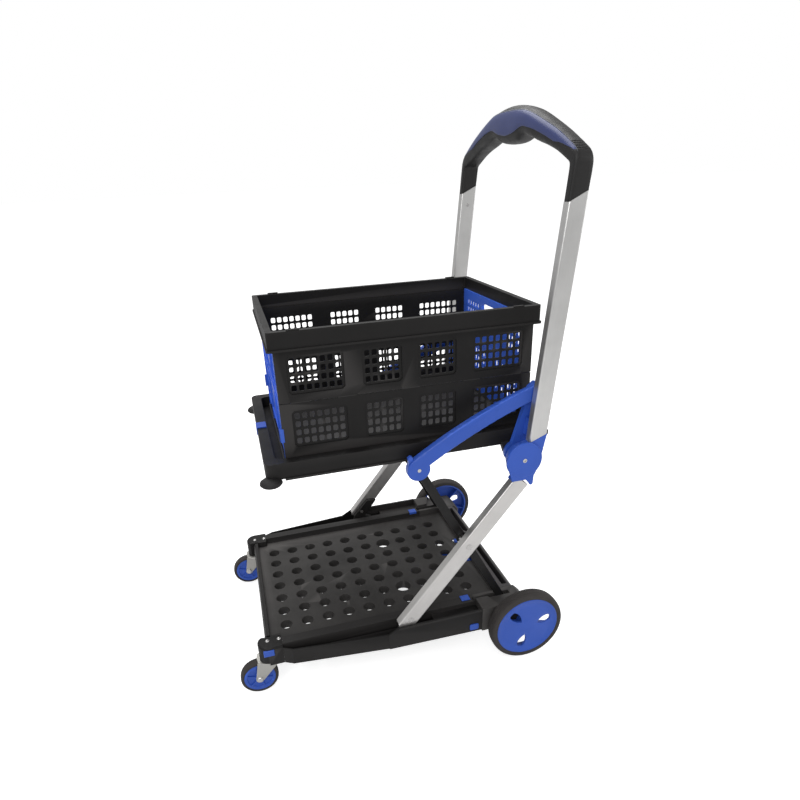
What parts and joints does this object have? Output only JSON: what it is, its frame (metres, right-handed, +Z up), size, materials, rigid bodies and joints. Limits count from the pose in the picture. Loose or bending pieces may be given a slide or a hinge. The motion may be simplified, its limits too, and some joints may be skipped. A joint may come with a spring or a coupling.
{
  "type": "folding platform cart",
  "caption": "Folding push cart with a perforated lower deck, an upper tray holding a collapsible crate, scissor legs, swivel casters and a looped push handle.",
  "frame": {"origin": "on the floor under the middle of the cart's bounding box", "axes": "+X towards the push handle at the rear, +Y to the right of a person pushing the cart from behind, +Z up"},
  "size_m": [0.6902, 0.551, 1.0827],
  "materials": {
    "black_plastic": "fine-grained satin",
    "grey_plastic": "satin",
    "blue_plastic": "semi-gloss",
    "tube_metal": "satin anodised",
    "fork_metal": "satin silver grey",
    "strut_paint": "satin black",
    "pin_steel": "bright zinc",
    "tyre": "matt rubber",
    "grip_rubber": "soft matt",
    "insert_plastic": "satin slate blue"
  },
  "bodies": {
    "base": {"deck_panel": "black_plastic", "front_beam": "black_plastic", "rear_beam": "grey_plastic", "side_rail_left": "black_plastic", "side_rail_right": "black_plastic", "corner_cap_left": "black_plastic", "corner_cap_right": "black_plastic", "wheel_housing_left": "black_plastic", "wheel_housing_right": "black_plastic", "base_pins": "pin_steel", "rear_axle": "pin_steel", "cap_rivets": "pin_steel", "base_clips": "blue_plastic"},
    "latch": {"deck_latch": "blue_plastic"},
    "struts": {"strut_left": "strut_paint", "strut_right": "strut_paint", "cross_rod": "strut_paint"},
    "legs": {"leg_left": "tube_metal", "leg_right": "tube_metal", "leg_socket_left": "blue_plastic", "leg_socket_right": "blue_plastic", "leg_rivets": "pin_steel"},
    "shoes": {"leg_shoe_left": "black_plastic", "leg_shoe_right": "black_plastic"},
    "tray": {"tray_body": "black_plastic", "tray_floor": "black_plastic", "tray_clip": "blue_plastic", "tray_feet": "grip_rubber", "tray_pins": "pin_steel"},
    "handle": {"handle_tube_left": "tube_metal", "handle_tube_right": "tube_metal", "handle_bracket_left": "blue_plastic", "handle_bracket_right": "blue_plastic", "grip": "grip_rubber", "grip_insert": "insert_plastic", "tube_tips": "grip_rubber", "tube_rivets": "pin_steel"},
    "arms": {"arm_left": "blue_plastic", "arm_right": "blue_plastic", "arm_rivets": "pin_steel"},
    "crate": {"crate_rim": "black_plastic", "crate_upper_panel_left": "black_plastic", "crate_upper_panel_right": "black_plastic", "crate_lower_panel_left": "black_plastic", "crate_lower_panel_right": "black_plastic", "seam_hinges": "black_plastic", "crate_floor": "black_plastic", "wall_catches": "blue_plastic"},
    "front_end_wall": {"end_wall_front": "blue_plastic"},
    "rear_end_wall": {"end_wall_rear": "blue_plastic"},
    "rear_wheel_left": {"rear_tyre_left": "tyre", "rear_hub_left": "blue_plastic"},
    "rear_wheel_right": {"rear_tyre_right": "tyre", "rear_hub_right": "blue_plastic"},
    "caster_left": {"caster_fork_left": "fork_metal"},
    "caster_right": {"caster_fork_right": "fork_metal"},
    "caster_wheel_left": {"caster_tyre_left": "tyre", "caster_hub_left": "blue_plastic"},
    "caster_wheel_right": {"caster_tyre_right": "tyre", "caster_hub_right": "blue_plastic"}
  },
  "joints": [
    {"name": "strut_fold", "type": "hinge", "parent": "base", "child": "struts", "pos_m": [0.2271, 0, 0.1104], "axis": [0, -1, 0], "range_deg": [0, 44]},
    {"name": "leg_fold", "type": "hinge", "parent": "struts", "child": "legs", "pos_m": [0.1313, 0, 0.2913], "axis": [0, -1, 0], "range_deg": [-85, 0]},
    {"name": "shoe_tilt", "type": "hinge", "parent": "legs", "child": "shoes", "pos_m": [0.0051, 0, 0.139], "axis": [0, -1, 0], "range_deg": [0, 41]},
    {"name": "tray_level", "type": "hinge", "parent": "legs", "child": "tray", "pos_m": [0.2398, 0, 0.469], "axis": [0, -1, 0], "range_deg": [0, 41]},
    {"name": "handle_fold", "type": "hinge", "parent": "tray", "child": "handle", "pos_m": [0.2398, 0, 0.469], "axis": [0, -1, 0], "range_deg": [0, 85]},
    {"name": "arm_fold", "type": "hinge", "parent": "struts", "child": "arms", "pos_m": [0.0359, 0, 0.4714], "axis": [0, -1, 0], "range_deg": [-62.5, 0]},
    {"name": "latch_press", "type": "hinge", "parent": "base", "child": "latch", "pos_m": [0.158, 0, 0.09], "axis": [0, 1, 0], "range_deg": [0, 8], "stiffness_Nm_per_rad": 0.6, "springref_deg": -5.73},
    {"name": "crate_lift", "type": "slide", "parent": "tray", "child": "crate", "axis": [0, 0, 1], "range_m": [0, 0.22]},
    {"name": "front_wall_fold", "type": "hinge", "parent": "crate", "child": "front_end_wall", "pos_m": [-0.198, 0, 0.722], "axis": [0, -1, 0], "range_deg": [0, 90]},
    {"name": "rear_wall_fold", "type": "hinge", "parent": "crate", "child": "rear_end_wall", "pos_m": [0.2774, 0, 0.722], "axis": [0, 1, 0], "range_deg": [0, 90]},
    {"name": "rear_wheel_left_spin", "type": "hinge", "parent": "base", "child": "rear_wheel_left", "pos_m": [0.2551, -0.2615, 0.082], "axis": [0, 1, 0], "continuous": true},
    {"name": "rear_wheel_right_spin", "type": "hinge", "parent": "base", "child": "rear_wheel_right", "pos_m": [0.2551, 0.2615, 0.082], "axis": [0, 1, 0], "continuous": true},
    {"name": "caster_left_swivel", "type": "hinge", "parent": "base", "child": "caster_left", "pos_m": [-0.291, -0.1906, 0.09], "axis": [0, 0, 1], "continuous": true},
    {"name": "caster_right_swivel", "type": "hinge", "parent": "base", "child": "caster_right", "pos_m": [-0.291, 0.1906, 0.09], "axis": [0, 0, 1], "continuous": true},
    {"name": "caster_left_spin", "type": "hinge", "parent": "caster_left", "child": "caster_wheel_left", "pos_m": [-0.3125, -0.1906, 0.039], "axis": [0, 1, 0], "continuous": true},
    {"name": "caster_right_spin", "type": "hinge", "parent": "caster_right", "child": "caster_wheel_right", "pos_m": [-0.3125, 0.1906, 0.039], "axis": [0, 1, 0], "continuous": true}
  ],
  "couplings": [
    {"joint": "leg_fold", "follows": "strut_fold", "ratio": -1.93},
    {"joint": "shoe_tilt", "follows": "strut_fold", "ratio": 0.93},
    {"joint": "tray_level", "follows": "strut_fold", "ratio": 0.93},
    {"joint": "handle_fold", "follows": "strut_fold", "ratio": 1.9267},
    {"joint": "arm_fold", "follows": "strut_fold", "ratio": -1.4156}
  ]
}
